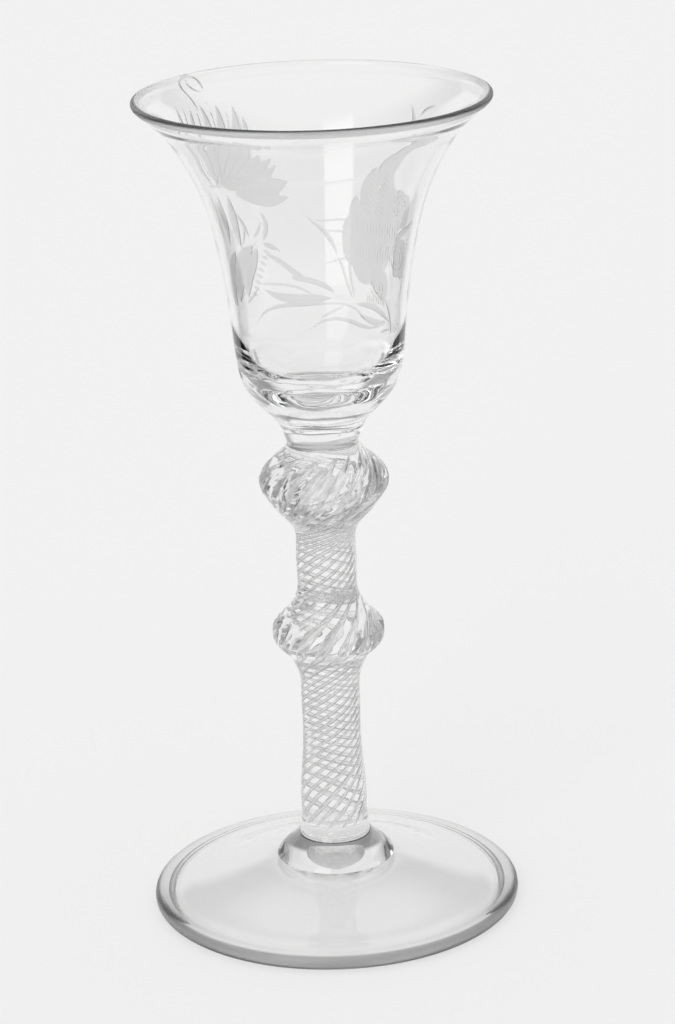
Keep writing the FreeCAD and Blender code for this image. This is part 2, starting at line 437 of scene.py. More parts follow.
def turned(outline, angles):
    """The closed surface that an outline from axis to axis sweeps through the angles."""
    mesh = bmesh.new()
    columns, rows = len(angles) - 1, len(outline) - 1
    bmesh.ops.create_grid(mesh, x_segments=columns, y_segments=rows, size=0.5)
    for point in mesh.verts:
        angle = angles[round((point.co.x + 0.5) * columns)]
        radius, height = outline[round((point.co.y + 0.5) * rows)]
        radius, height = max(radius, 0.0), max(height, 0.0)
        point.co = (radius * math.cos(angle), radius * math.sin(angle), height)
    bmesh.ops.remove_doubles(mesh, verts=mesh.verts, dist=weld_tolerance)
    bmesh.ops.recalc_face_normals(mesh, faces=mesh.faces)
    return mesh


# %% [markdown]
# ## The finishes
#
# Old English glass holds much lead, so it bends light more than window glass: 1.57
# against 1.5. A glass finish can be a plain Glass BSDF; a Principled one with full
# transmission is chosen because it exports as glass. Its normal is ruffled by slow
# noise, as hot-worked glass is never quite even.
#
# It is rough where the glass is cut, worn or broken, and in the walls of the threads.
# Some places also carry painted shade, a grey that real glass doesn't have: the threads,
# the cuts, the boss, the thick base, the weld under the bowl, and the fronts of the rim
# and of the foot's edge. The painted shade stands in for dark surroundings, and its
# levels were set against the photograph.
#
# Where two pieces are welded there is no border that light could see. Both closed
# ends stay in the meshes, and the joint finish makes them invisible.

# %% Glass and joint
lead_glass_ior = 1.57
glass_tint = (0.992, 0.992, 0.99, 1.0)


def place_on_piece(tree):
    """The place of a point on its piece, whole and split into X, Y and Z."""
    place = add_node(tree, "ShaderNodeTexCoord").outputs["Object"]
    return place, fill(tree, add_node(tree, "ShaderNodeSeparateXYZ"), {0: place})


def distance_from_axis(tree, place):
    flat = add_node(tree, "ShaderNodeVectorMath", operation="MULTIPLY")
    flat = fill(tree, flat, {0: place, 1: (1.0, 1.0, 0.0)})["Vector"]
    length = add_node(tree, "ShaderNodeVectorMath", operation="LENGTH")
    return fill(tree, length, {0: flat})["Value"]


def attribute_of(tree, name):
    return add_node(tree, "ShaderNodeAttribute", attribute_name=name).outputs


def ripple(tree, place, scale, detail):
    node = add_node(tree, "ShaderNodeTexNoise")
    return fill(tree, node, {"Vector": place, "Scale": scale, "Detail": detail})[0]


def bump(tree, shader, height, depth, strength=1.0, invert=False):
    """Lets a surface seem to rise with a height value, or to sink if it is inverted."""
    values = {"Strength": strength, "Distance": depth, "Height": height}
    for link in shader.inputs["Normal"].links:
        values["Normal"] = link.from_socket
    node = add_node(tree, "ShaderNodeBump", invert=invert)
    feed(tree, shader.inputs["Normal"], fill(tree, node, values)["Normal"])


def glass_material(name, wave_scale, wave_depth):
    """Clear lead glass with the slow ripple of hot-worked glass."""
    material = new_material(name, {"Base Color": glass_tint, "Roughness": 0.0,
                                   "IOR": lead_glass_ior, "Transmission Weight": 1.0})
    tree, shader = shader_of(material)
    waves = ripple(tree, place_on_piece(tree)[0], wave_scale, 1.0)
    bump(tree, shader, waves, wave_depth)
    return material


fused_joint = new_material("fused_joint", {"Alpha": 0.0, "Roughness": 0.0,
                                           "Specular IOR Level": 0.0})
print("finish", fused_joint.name)

# %% Bounces: light crosses many surfaces in a stem full of threads
scene.cycles.max_bounces = 96
scene.cycles.transmission_bounces = 96
scene.cycles.transparent_max_bounces = 32
scene.cycles.glossy_bounces = 8
scene.cycles.diffuse_bounces = 3


# %% Welds: where pieces meet, their edges draw in a little
flat_limit = 0.999
weld_slack = 0.01 * MM


def weld_groove(outline, weld, depth, reach):
    """Draws an outline in near a weld, which leaves the fine dark line of the joint."""
    return [(radius - depth * math.exp(-((height - weld) / reach) ** 2), height)
            for radius, height in outline]


def fuse_ends(mesh, welds, within=math.inf):
    """Gives the flat ends that lie in a weld the joint finish, in slot 1."""
    for face in mesh.faces:
        middle = face.calc_center_median()
        flat = abs(face.normal.z) > flat_limit and middle.xy.length < within
        if flat and any(abs(middle.z - weld) < weld_slack for weld in welds):
            face.material_index = 1


# %% [markdown]
# ## The foot
#
# The foot is a shallow cone with a domed boss where the stem stands, a rounded edge
# and a hollow underside, so that the pontil stub clears the table.

# %% Foot glass: worn on the ring it stands on; painted shade and dullness on the front of its edge, painted shade on the boss
foot_front = (32.0 * MM, 6.0 * MM)
edge_reach = (36.9 * MM, 37.4 * MM)
# Painted shade: a dark grey on the front of the foot's edge only, which stands in for
# dark surroundings
painted_edge_shade = grey(0.26)
ring_reach = (1.0 * MM, 0.5 * MM)
worn_roughness = 0.30
boss_reach = (12.6 * MM, 10.6 * MM)
# Painted shade: the boss is a little greyer than the rest of the foot
painted_boss_shade = grey(0.86)


def foot_material():
    material = glass_material("foot_glass", wave_scale=90.0, wave_depth=0.02 * MM)
    tree, shader = shader_of(material)
    place, parts = place_on_piece(tree)
    distance = distance_from_axis(tree, place)
    in_front = map_range(tree, parts["Y"], *foot_front)
    edge = product(tree, in_front, map_range(tree, distance, *edge_reach))
    # The ring it stands on is worn. The front of the edge, where the shade is painted, is
    # dulled as well
    worn = larger(tree, edge, map_range(tree, parts["Z"], *ring_reach))
    # Painted shade on the front of the edge
    tint = mix_color(tree, edge, glass_tint, painted_edge_shade)
    in_boss = map_range(tree, distance, *boss_reach)
    fill(tree, shader, {
        "Base Color": mix_color(tree, in_boss, tint, painted_boss_shade),
        "Roughness": product(tree, worn, worn_roughness)})
    return material


foot_glass = foot_material()

# %% Foot
foot_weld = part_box("foot")[1].z
bowl_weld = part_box("bowl")[0].z
foot_groove = (0.2 * MM, 0.5 * MM)  # depth and reach
foot_spacing = 0.6 * MM
foot_steps = 256
stem_foot_radius = 7.4 * MM
pontil_radius = 4.3 * MM
pontil_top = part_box("pontil_scar")[1].z


def make_foot():
    start = Vector((stem_foot_radius, 0, foot_weld))
    outline = resample(seam_points("foot", start, Vector((1, 0, -1))), foot_spacing)
    outline = weld_groove(outline, foot_weld, *foot_groove)
    clear = [(radius, height) for radius, height in outline
             if radius > pontil_radius or height > pontil_top]
    socket = [(pontil_radius, pontil_top), (0.0, pontil_top)]
    outline = [(0.0, foot_weld)] + clear + socket
    mesh = turned(outline, even_angles(foot_steps))
    fuse_ends(mesh, [foot_weld])
    fuse_ends(mesh, [pontil_top], within=pontil_radius)
    foot = finish_piece("foot_cone", mesh, [foot_glass, fused_joint])
    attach(foot, "root")
    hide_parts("foot")


make_foot()

# %% [markdown]
# ## The stem
#
# The maker pricked holes round a hot gather, covered them with a second gather and
# drew and twisted the whole, so the holes became threads of air. The two gathers melt
# into one glass; only the air shows. So one piece stands for casing and core: the
# turned skin, and inside it twelve closed tubes whose faces look into the air.

# %% Twist of the threads
thread_count = 12
thread_turn_length = 21.0 * MM
turn_length_shares = [(0.0, 1.5), (0.10, 1.5), (0.15, 1.17), (0.21, 1.0), (0.34, 1.0),
                      (0.40, 1.1), (0.70, 1.1), (0.755, 0.6), (0.79, 0.6), (0.83, 0.9),
                      (1.0, 1.0)]
turn_radius_power = 1.3
core_share = 0.76
knop_core_share = 0.68
thread_seat_share = 0.89
shaft_radius = 5.975 * MM
stem_length = bowl_weld - foot_weld

stem_skin = seam_points("stem_casing", Vector((stem_foot_radius, 0, foot_weld)), UP)
stem_skin_radii, stem_skin_heights = zip(*stem_skin)


def stem_radius(height):
    return float(np.interp(height, stem_skin_heights, stem_skin_radii))


def thread_radius(height):
    """Distance of the threads from the axis: the core takes its share of each knop."""
    swell = stem_radius(height) - shaft_radius
    return thread_seat_share * (shaft_radius * core_share + swell * knop_core_share)


def turn_length(height):
    """A thick place twists less than a thin one."""
    places, factors = zip(*turn_length_shares)
    factor = float(np.interp((height - foot_weld) / stem_length, places, factors))
    thickness = stem_radius(height) / shaft_radius
    return thread_turn_length * factor * thickness ** turn_radius_power


# %% [markdown]
# A thread is a straight tube, cut into many rings and bent onto its helix ring by
# ring. A curve with a bevel could do it too, but its section keeps one shape, and a
# real thread is a flat ribbon in the knops and a fine line in the shaft. The rings
# are placed one by one, so each has its own width.

# %% Threads
thread_start = foot_weld + 1.3 * MM
thread_end = bowl_weld - 2.6 * MM
thread_rings = 250
thread_sides = 10
thread_half_width = 0.33 * MM
thread_half_depth = 0.24 * MM
thread_width_power = 1.7
thread_flattening = 0.5
thread_taper = 2.2 * MM
thread_tip_share = 0.08


def thread_sections(phase, radius_shift, width_factor):
    """Centre, outward and sideways half sizes of each ring of one thread."""
    heights = np.linspace(thread_start, thread_end, thread_rings)
    rise = heights[1] - heights[0]
    angle = phase
    sections = []
    for height in heights:
        rate = FULL_TURN / turn_length(height)
        radius = thread_radius(height) + radius_shift
        out = Vector((math.cos(angle), math.sin(angle), 0))
        along = (UP.cross(out) * radius * rate + UP).normalized()
        run = min(height - thread_start, thread_end - height) / thread_taper
        fade = max(thread_tip_share, math.sqrt(min(1.0, max(0.0, run)))) * width_factor
        thickness = stem_radius(height) / shaft_radius
        half_depth = thread_half_depth * fade * thickness ** -thread_flattening
        half_width = thread_half_width * fade * thickness ** thread_width_power
        sections.append((out * radius + UP * height, out * half_depth,
                         along.cross(out) * half_width))
        angle += rate * rise
    return sections


def thread_tube(sections):
    """A straight tube bent onto its sections, its faces turned to the air inside."""
    tube = bmesh.new()
    bmesh.ops.create_cone(tube, cap_ends=True, segments=thread_sides, radius1=1,
                          radius2=1, depth=1)
    long_edges = [edge for edge in tube.edges
                  if abs(edge.verts[0].co.z - edge.verts[1].co.z) > 0.5]
    bmesh.ops.subdivide_edges(tube, edges=long_edges, cuts=thread_rings - 2)
    for point in tube.verts:
        ring = round((point.co.z + 0.5) * (thread_rings - 1))
        centre, outward, sideways = sections[ring]
        point.co = centre + outward * point.co.x + sideways * point.co.y
    bmesh.ops.recalc_face_normals(tube, faces=tube.faces)
    bmesh.ops.reverse_faces(tube, faces=tube.faces)
    for face in tube.faces:
        face.material_index = 2
    return tube


def join_into(mesh, other):
    """Adds the geometry of one bmesh to another."""
    data = bpy.data.meshes.new("joined")
    other.to_mesh(data)
    other.free()
    mesh.from_mesh(data)
    bpy.data.meshes.remove(data)


# %% [markdown]
# Where the stem swells, the threads press shallow twisted ribs into its skin. They
# break up every reflection on the knops. A displacement texture could do this; moving
# the points by the twist itself keeps ribs and threads together.

# %% Ribs on the knops
rib_depth = 0.05 * MM
rib_overtone = 0.4
rib_start = 1.02
outer_share = 0.9
twist_steps = 400
twist_heights = np.linspace(foot_weld, bowl_weld, twist_steps)
twist_rates = np.array([FULL_TURN / turn_length(height) for height in twist_heights])
twist_angles = np.cumsum(twist_rates) * (twist_heights[1] - twist_heights[0])
twist_angles -= np.interp(thread_start, twist_heights, twist_angles)
untwisted_length_share = 0.06


def untwisted(point):
    """Where a point would lie, in mm, if the stem were untwisted and much shorter."""
    turn = float(np.interp(point.z, twist_heights, twist_angles))
    back = Matrix.Rotation(-turn, 3, "Z") @ point
    return back.x / MM, back.y / MM, back.z / MM * untwisted_length_share


def press_ribs(mesh):
    """Moves the skin in and out in step with the threads, most on the knops."""
    for point in mesh.verts:
        radius = math.hypot(point.co.x, point.co.y)
        skin = stem_radius(point.co.z)
        if radius < outer_share * skin:
            continue
        swell = min(1.0, max(0.0, skin / shaft_radius - rib_start))
        turn = math.atan2(point.co.y, point.co.x)
        turn -= float(np.interp(point.co.z, twist_heights, twist_angles))
        turn *= thread_count
        rib = math.cos(turn) + rib_overtone * math.cos(2 * turn + 1)
        scale = 1 + rib_depth * swell * (rib - 1) / skin
        point.co.x *= scale
        point.co.y *= scale


# %% Stem glass, and thread glass for the walls of the air threads
# Painted shade on the walls of the air threads: plain grey in the shaft, and streaks of
# darker and lighter grey in the knops
painted_shaft_thread_shade = grey(0.86)
streak_range = (0.38, 0.62)
painted_streak_shades = grey(0.74), grey(0.99)
thread_roughness = 0.14


def streaked(material, scale, depth, start, full):
    """Adds fine streaks along the twist, from one distance from the axis outwards."""
    tree, shader = shader_of(material)
    distance = distance_from_axis(tree, place_on_piece(tree)[0])
    share = map_range(tree, distance, start, full)
    streak = ripple(tree, attribute_of(tree, "untwisted")["Vector"], scale, 0.0)
    bump(tree, shader, streak, depth, strength=share)
    return share, streak


def thread_material():
    material = glass_material("thread_glass", wave_scale=400.0, wave_depth=0.02 * MM)
    tree, shader = shader_of(material)
    in_knop, streak = streaked(material, scale=1.5, depth=0.10 * MM,
                               start=5.0 * MM, full=6.5 * MM)
    # Painted shade on the threads in the knops, in streaks along the twist
    knop_thread_shade = mix_color(tree, map_range(tree, streak, *streak_range), *painted_streak_shades)
    fill(tree, shader, {"Base Color": mix_color(tree, in_knop, painted_shaft_thread_shade, knop_thread_shade),
                        "Roughness": thread_roughness})
    return material


stem_glass = glass_material("stem_glass", wave_scale=120.0, wave_depth=0.01 * MM)
streaked(stem_glass, scale=0.7, depth=0.06 * MM, start=6.5 * MM, full=8.5 * MM)
thread_glass = thread_material()

# %% Stem
stem_spacing = 0.36 * MM
stem_steps = 180
bowl_groove = (0.5 * MM, 0.9 * MM)
thread_dice = random.Random(7)
thread_turn_wander = math.radians(2.5)
thread_out_wander = 0.12 * MM
thread_width_range = (0.85, 1.15)


def keep_values(piece, name, kind, values):
    """Stores a value for each point of a piece, which its finish reads by name."""
    kept = piece.data.attributes.new(name, kind, "POINT").data
    kept.foreach_set("vector" if kind == "FLOAT_VECTOR" else "value", values.ravel())


def make_stem():
    outline = resample(stem_skin, stem_spacing)
    outline = weld_groove(outline, foot_weld, *foot_groove)
    outline = weld_groove(outline, bowl_weld, *bowl_groove)
    outline = [(0.0, foot_weld)] + outline + [(0.0, bowl_weld)]
    mesh = turned(outline, even_angles(stem_steps))
    fuse_ends(mesh, [foot_weld, bowl_weld])
    press_ribs(mesh)
    for number in range(thread_count):
        phase = FULL_TURN * (number + 0.5) / thread_count
        phase += thread_dice.uniform(-thread_turn_wander, thread_turn_wander)
        shift = thread_dice.uniform(-thread_out_wander, thread_out_wander)
        width = thread_dice.uniform(*thread_width_range)
        join_into(mesh, thread_tube(thread_sections(phase, shift, width)))
    streaks = np.array([untwisted(point.co) for point in mesh.verts])
    stem = finish_piece("twist_stem", mesh, [stem_glass, fused_joint, thread_glass])
    keep_values(stem, "untwisted", "FLOAT_VECTOR", streaks)
    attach(stem, "root")
    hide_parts("stem_casing", "stem_core")


make_stem()

# %% [markdown]
# ## The bowl
#
# The bowl is blown: a thick round base that runs up into a thin flared wall, with a
# rounded bead at the rim. Its outside needs the finest mesh of all, because flowers
# are cut into it. So the rings and columns are close together where the pattern is,
# on the far side, and wide apart on the plain side and on the inside.

# %% Bowl outline and columns
neck_radius = 7.7 * MM
bowl_fine_spacing = 0.34 * MM
inner_every = 3
bead_rings = 4
pattern_bottom = 112.0 * MM
pattern_half_angle = 98.0
fine_column = 0.70
plain_column = 3.0


def top_of(outline):
    return max(range(len(outline)), key=lambda place: outline[place][1])


def bowl_outline():
    """The outline from the neck over the rim to the floor of the bowl, finer outside."""
    skin = seam_points("bowl", Vector((neck_radius, 0, bowl_weld)), UP)
    fine = resample(skin, bowl_fine_spacing)
    top = top_of(fine)
    base = [point for point in fine[:top] if point[1] < pattern_bottom][::2]
    wall = [point for point in fine[:top] if point[1] >= pattern_bottom]
    inner = fine[top + bead_rings:-1:inner_every]
    outline = base + wall + fine[top:top + bead_rings] + inner + [fine[-1]]
    outline = weld_groove(outline, bowl_weld, *bowl_groove)
    return [(0.0, bowl_weld)] + outline


def bowl_angles():
    """Columns round the bowl in radians: close on the far side, wide on the near one."""
    start, end = 90.0 - pattern_half_angle, 90.0 + pattern_half_angle
    close, wide = end - start, 360.0 - end + start
    close = np.linspace(start, end, round(close / fine_column) + 1)
    wide = np.linspace(end, start + 360.0, round(wide / plain_column) + 1)
    return [math.radians(angle) for angle in [*close, *wide[1:]]]


bowl_skin_outline = bowl_outline()
skin_radii, skin_heights = np.array(bowl_skin_outline[1:top_of(bowl_skin_outline) + 1]).T


def skin_radius(height):
    """The outer radius of the bowl at a height, or at each of many heights."""
    return np.interp(height, skin_heights, skin_radii)


print("bowl", len(bowl_skin_outline), "rings", len(bowl_angles()), "columns")

# %% [markdown]
# ## The wheel engraving
#
# An engraver holds the glass against a small turning copper wheel. Every touch cuts a
# shallow scoop: pointed where the wheel enters and leaves, widest where it sinks in
# deepest. So the whole pattern can be written as strokes. Each stroke is a smooth line
# through a few places on the outside, given by azimuth in degrees and height in
# millimetres, with a half width and the shares of its length in which it opens and
# closes. A painted texture could show the same, but a cut bends light and a picture
# of it doesn't. The azimuths are those at which the places show through the near wall.

# %% Strokes: half width in mm, share that opens, share that closes, places
petals = [
    (1.5, 0.5, 0.8, [(154, 150.1), (159, 154.6), (157.5, 160.4), (153, 165.3)]),
    (1.2, 0.5, 0.8, [(151.5, 150.2), (152.5, 155.1), (149.5, 160.6), (145, 164.7)]),
    (1.6, 0.5, 0.7, [(150.5, 150.2), (145.5, 154.5), (140, 160.2), (139.5, 164.6)]),
    (1.8, 0.5, 0.7, [(149, 150), (140.5, 154.4), (133, 159.6), (131.5, 164.2)]),
    (1.9, 0.5, 0.7, [(147, 149.9), (134.5, 154), (125.5, 158.8), (124, 163.5)]),
    (1.5, 0.5, 0.6, [(145.5, 149.8), (130, 153.3), (121.5, 157.6), (121, 161.6)]),
    (1.8, 0.5, 0.5, [(144, 149.5), (128, 152.1), (118.5, 154.6), (116, 156.7)]),
    (1.6, 0.5, 0.5, [(142.5, 149.2), (126, 150.8), (116, 152.5), (110.5, 155.2)]),
    (1.3, 0.5, 0.5, [(140.5, 149), (124.5, 149.9), (114.5, 150.6), (108.5, 152.6)]),
    (2.3, 0.4, 0.4, [(140, 148.7), (125.5, 148.6), (114.5, 147.9), (104, 148.8)]),
    (1.5, 0.4, 0.4, [(139, 147.7), (126.5, 146.5), (115.5, 145.3), (104, 145.6)]),
]
petal_lines = [petal[3] for petal in petals]
broad_strokes = petals + [
    # curled bud above the flower
    (0.34, 0.5, 0.4, [(137, 168.9), (138, 167.7), (137, 166.6), (133.5, 166)]),
    # large flower: the mass of its head
    (3.4, 0.4, 0.5, [(147, 150), (138, 154), (129, 158)]),
    (3, 0.4, 0.5, [(145, 149.5), (131, 152), (119, 154.5)]),
    (2.2, 0.5, 0.5, [(151, 150), (150, 154.5), (146, 159.5)]),
    # calyx and stalk
    (1.6, 0.5, 0.7, [(145, 148.1), (145, 144.2), (144, 140.1), (142.5, 136.6)]),
    (1.7, 0.5, 0.7, [(163.5, 150.5), (164, 147.3), (162, 143.9), (159, 140.5)]),
    (1.5, 0.5, 0.7, [(154, 148.8), (154, 145.3), (153, 141.6), (154, 138.1)]),
    # thistle: bud and spikes
    (2.6, 0.5, 0.4, [(132.5, 137.1), (142, 134.7), (150, 131.6), (152, 126.7)]),
    (2.3, 0.5, 0.4, [(149, 137), (156, 134), (159, 130.5), (157, 126.5)]),
    (2.0, 0.6, 0.6, [(158, 135), (163, 132.5), (165, 130), (163, 127)]),
    (1.9, 0.5, 0.4, [(129.5, 136.3), (134.5, 133.8), (141, 131), (142.5, 127)]),
    (0.45, 0.4, 0.5, [(142, 144.4), (137.5, 141.4), (134, 138.2)]),
    (0.4, 0.5, 0.7, [(142.5, 136.8), (138, 139.7), (138, 143.3)]),
    (0.65, 0.3, 0.7, [(125, 137.1), (121, 140.3), (124, 144)]),
    (0.4, 0.3, 0.7, [(132, 138.1), (126.5, 139.8), (123.5, 142)]),
    (0.55, 0.3, 0.6, [(125, 136.9), (119.5, 136), (112.5, 134.5)]),
    (0.4, 0.2, 0.5, [(145.5, 126), (137.5, 127.3), (131, 128.7)]),
    # leaves under the flowers
    (0.55, 0.3, 0.3, [(125, 134.9), (114, 132.5), (104.5, 130), (95.5, 128.5)]),
    (0.6, 0.2, 0.3, [(108, 129.3), (95, 128.3), (84.5, 127), (78, 125.6)]),
    (0.95, 0.5, 0.3, [(129, 128), (119.5, 126.1), (105.5, 124.9), (79.5, 124.6)]),
    (0.55, 0.7, 0.3, [(142, 119.6), (134.5, 122.2), (124.5, 123.4), (109.5, 123.6),
                     (82, 123.5)]),
    (0.45, 0.7, 0.4, [(106.5, 117.7), (95, 118.7), (85.5, 119.8), (68, 120),
                     (54, 119.4), (34.5, 121.2)]),
    (0.7, 0.3, 0.5, [(64.5, 123.6), (53, 123.5), (42, 122.8), (31, 121.4)]),
    (0.6, 0.5, 0.5, [(62, 121.8), (56, 121), (47.5, 120.7), (35.5, 121.5)]),
    (0.42, 0.7, 0.3, [(55, 116.3), (44.5, 117.3), (38, 118.9), (29, 120.3)]),
    # leaves right of the flower
    (0.5, 0.7, 0.4, [(97.5, 142.2), (91.5, 140.1), (84.5, 137.9), (79.5, 135.5),
                     (76.5, 132.9)]),
    (0.5, 0.5, 0.8, [(39, 160.7), (36.5, 162.1), (29.5, 163.5)]),
    (0.6, 0.4, 0.8, [(39.5, 157.6), (41.5, 160.3), (46, 163)]),
    (1.5, 0.5, 0.4, [(21, 159.7), (35.5, 157.7), (44, 155.7), (46, 153)]),
    (1.6, 0.5, 0.4, [(44, 154.6), (47.5, 151.6), (46, 148.8), (41, 145.9)]),
    (2.1, 0.3, 0.5, [(54, 147.5), (49.5, 150.9), (45.5, 153.2), (41, 155.4),
                     (34, 157.6)]),
    # moth: upper wings, body, lower wings, tail spike
    (2.3, 0.5, 0.4, [(55.5, 151.6), (57.5, 148.3), (57.5, 144.8), (55, 141.3)]),
    (1.8, 0.5, 0.3, [(66, 146), (65.5, 142.6), (63, 139.9), (59.5, 137.2)]),
    (2.3, 0.5, 0.4, [(48.5, 149.5), (47.5, 145.6), (47.5, 142.4), (45.5, 139.4)]),
    (2.2, 0.4, 0.3, [(38, 147.6), (34, 145.4), (33.5, 142.9), (36.5, 140)]),
    (2.2, 0.5, 0.5, [(32, 147), (28, 145.2), (27.5, 143), (31, 140.6)]),
    (2.6, 0.3, 0.3, [(41.5, 148), (40, 143.5), (39, 139), (38.5, 133.5)]),
    (2.3, 0.3, 0.3, [(65.5, 142.5), (67, 139), (66.5, 135), (63, 131)]),
    (2.3, 0.3, 0.4, [(62, 134), (58.5, 131), (53, 128.5)]),
    (3.1, 0.4, 0.3, [(66, 138.5), (58, 139), (48, 139), (40, 138.5)]),
    (3, 0.3, 0.3, [(64, 134.5), (56, 134), (48, 134), (40, 133.5)]),
    (2.4, 0.4, 0.4, [(33, 138.4), (29, 136.2), (28, 133.8), (32, 131)]),
    (2.2, 0.4, 0.4, [(28, 138.2), (24, 136.4), (23, 133.8), (26, 131.2)]),
    (2.6, 0.4, 0.5, [(55, 131.4), (47, 130), (42, 127.6), (41, 125.2)]),
    (0.7, 0.3, 0.7, [(36, 137.6), (26, 140.3), (20, 142.3), (11.5, 144.8)]),
]
fine_strokes = [
    # curl of the bud
    (0.28, 0.3, 0.1, [(142, 162), (142, 164.1), (142, 166.5), (141.5, 168.1),
                     (138, 168.9), (134, 168.6), (132.5, 167.4), (133.5, 166)]),
    # edges between the petals
    *[(0.26, 0.3, 0.4, [((a + c) / 2, (b + d) / 2) for (a, b), (c, d) in zip(*pair)])
      for pair in zip(petal_lines, petal_lines[1:])],
    # stems
    (0.28, 0.2, 0.2, [(132, 129), (115, 128.1), (101.5, 126.8), (91.5, 125)]),
    (0.3, 0.1, 0.1, [(113, 124.1), (89, 123.4), (70.5, 123.4), (63, 122.4),
                     (55, 120.4)]),
    (0.35, 0.4, 0.4, [(90.5, 119.9), (82, 121.3), (71, 123.2)]),
    (0.3, 0.2, 0.2, [(40, 126), (34, 123.9), (31, 121.6), (27, 119)]),
    (0.3, 0.2, 0.3, [(21, 131.6), (20.5, 129.2), (22.5, 126.9)]),
    (0.26, 0.1, 0.1, [(76, 132.9), (72.5, 130.1), (69, 127.1), (65.5, 124.8)]),
    (0.26, 0.1, 0.2, [(68.5, 131.8), (67, 128.2), (64, 125)]),
    # feelers and legs of the moth
    (0.26, 0.2, 0.6, [(68, 140.4), (76.5, 140.7), (88.5, 140.5), (97, 142)]),
    (0.26, 0.2, 0.6, [(68, 138.2), (79.5, 138.3), (90, 138.5)]),
    (0.26, 0.2, 0.6, [(67.5, 133), (76.5, 132.3), (87, 131.1)]),
]

# %% [markdown]
# The near wall bends the view of the far one, most near the edges, so each place is
# turned a little to where it really is. The turn of a straight tube's wall is worked
# out; a bell's is different, and only a given share of the turn fits here.

# %% Where a place really is
bowl_wall = 1.1 * MM
# A view that also slants down bends as if the glass had a higher index
slanted_index = 1.62
grazing_limit = 0.985
bend_share = 0.6
# Above the second height the view passes over the near rim, and nothing is bent
near_rim_heights = (158.0, 163.0)


def bent_azimuth(azimuth, height, radius):
    """Where a far place is that shows at this azimuth through the near wall."""
    inner = 1 - bowl_wall / radius
    offset = min(abs(math.cos(math.radians(azimuth))), grazing_limit * inner)
    inside = math.asin(offset / inner) - math.asin(offset / inner / slanted_index)
    outside = math.asin(offset) - math.asin(offset / slanted_index)
    through_wall = float(np.interp(height, near_rim_heights, (1.0, 0.0)))
    bend = math.degrees(2 * (inside - outside)) * through_wall * bend_share
    return azimuth + math.copysign(bend, azimuth - 90)


def skin_point(azimuth, height):
    """A point on the outside of the bowl, from where it shows through the near wall."""
    radius = float(skin_radius(height * MM))
    turn = math.radians(bent_azimuth(azimuth, height, radius))
    return radius * math.cos(turn), radius * math.sin(turn), height * MM


# %% Strokes as lines with a width
far_outside = 1.0 * MM


def stroke_line(places, samples):
    """Points along a smooth line on the outside, and how far along each one is."""
    point_at, times = spline_through([skin_point(*place) for place in places])
    shares = np.linspace(0.0, 1.0, samples)
    line = np.array([point_at(times[-1] * share) for share in shares])
    stretch = skin_radius(line[:, 2]) / np.hypot(line[:, 0], line[:, 1])
    line[:, :2] *= stretch[:, None]
    return line, shares


def stroke_widths(half_width, opening, closing, shares):
    """Half widths along a stroke: pointed at both ends, full between."""
    opened = np.clip(shares / opening, 0, 1)
    closed = np.clip((1 - shares) / closing, 0, 1)
    return half_width * MM * np.sin(opened * math.pi / 2) * np.sin(closed * math.pi / 2)


def stroke_edge(points, stroke, samples=18):
    """How far inside a stroke's edge each point lies, negative outside it."""
    half_width, opening, closing, places = stroke
    line, shares = stroke_line(places, samples)
    widths = stroke_widths(half_width, opening, closing, shares)
    edge = np.full(len(points), -far_outside)
    reach = half_width * MM + far_outside
    low, high = line.min(axis=0) - reach, line.max(axis=0) + reach
    near = np.where(((points > low) & (points < high)).all(axis=1))[0]
    for start, end, first, last in zip(line, line[1:], widths, widths[1:]):
        along = end - start
        share = np.clip((points[near] - start) @ along / (along @ along), 0, 1)
        gap = np.linalg.norm(points[near] - start - share[:, None] * along, axis=1)
        edge[near] = np.maximum(edge[near], first + (last - first) * share - gap)
    return edge


# %% [markdown]
# Only the broad strokes are really cut into the mesh, in shallow scoops. The fine ones
# are hardly wider than its cells, so only the finish shows them: bump and roughness.

# %% Cut the strokes into the bowl
broad_depth = 0.09 * MM
depth_per_width = 0.06
skin_slack = 0.02 * MM


def nearest_edge(points, strokes):
    """How far inside the nearest of many strokes each point lies."""
    return np.max([stroke_edge(points, stroke) for stroke in strokes], axis=0)


def scoop_depth(points, stroke):
    """How deep one broad stroke cuts at each point: full in its middle."""
    inside = np.clip(stroke_edge(points, stroke) / (stroke[0] * MM), 0, 1)
    return (1 - (1 - inside) ** 2) * min(broad_depth, depth_per_width * stroke[0] * MM)


def engrave(mesh):
    """Moves the outside in where it is cut; returns the edges of both kinds."""
    points = np.array([point.co for point in mesh.verts])
    radii = np.hypot(points[:, 0], points[:, 1])
    outside = np.abs(radii - skin_radius(points[:, 2])) < skin_slack
    outside &= points[:, 2] > pattern_bottom
    skin = points[outside]
    broad, fine = np.full((2, len(points)), -far_outside)
    broad[outside] = nearest_edge(skin, broad_strokes)
    fine[outside] = nearest_edge(skin, fine_strokes + drawn_hatching())
    depth = np.max([scoop_depth(skin, stroke) for stroke in broad_strokes], axis=0)
    mesh.verts.ensure_lookup_table()
    for place, share in zip(np.where(outside)[0], 1 - depth / radii[outside]):
        if share < 1:
            mesh.verts[place].co.x *= share
            mesh.verts[place].co.y *= share
    return broad, fine


# %% [markdown]
# Inside the broad scoops the engraver draws with the edge of the wheel: stamens in the
# heart of the flower, scales and barbs on the thistle, ribs, eyes and a fringe on the
# wings. They follow simple rules, so loops lay them.

# %% Hatching
flower_heart = (147.5, 149.6)
stamen_tips = [(156, 153.8), (150.5, 153.4), (143, 154.4), (136.5, 152.6), (131, 150.4),
               (131.5, 148.6), (160, 151)]
